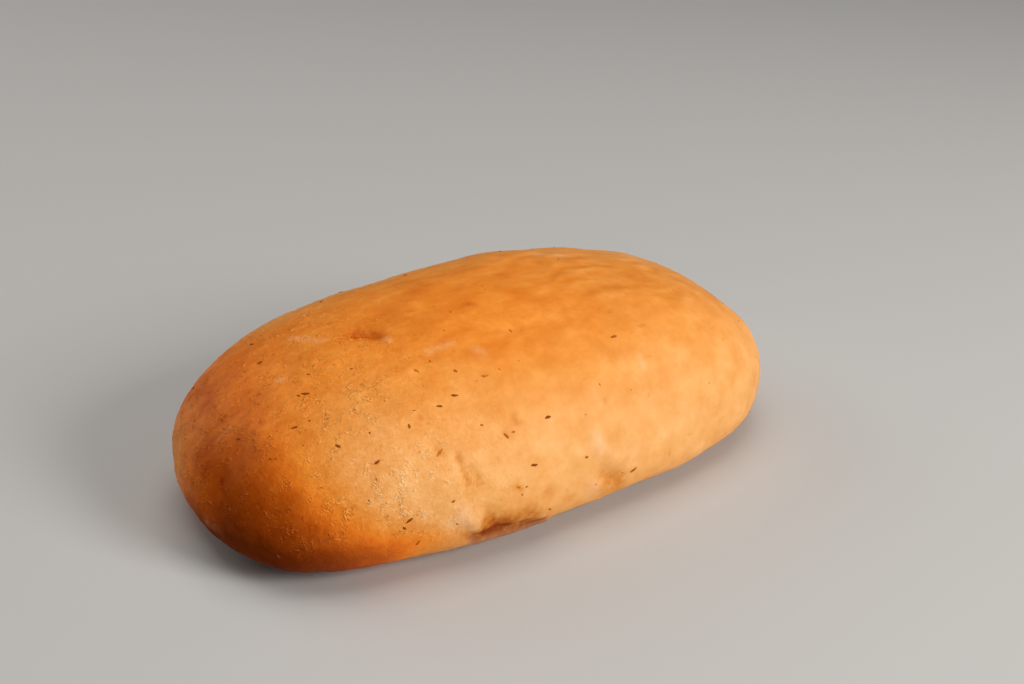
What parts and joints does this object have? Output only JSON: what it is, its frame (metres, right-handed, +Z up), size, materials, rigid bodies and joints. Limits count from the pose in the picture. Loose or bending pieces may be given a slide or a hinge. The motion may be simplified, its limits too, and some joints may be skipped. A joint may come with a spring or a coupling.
{
  "type": "herb ciabatta roll",
  "caption": "Uncut oval bread roll with a low domed golden crust, a folded tuck along its foot, flecks of dried herb and a flat base to rest on.",
  "frame": {"origin": "middle of the flat foot that the roll rests on", "axes": "+X along the roll towards its rounder end, -Y towards its front side, +Z up"},
  "size_m": [0.1606, 0.0928, 0.0477],
  "materials": {
    "crust": "baked crust, soft satin, golden brown on the crown and paler towards the foot"
  },
  "bodies": {
    "root": {"roll": "crust"}
  },
  "joints": []
}
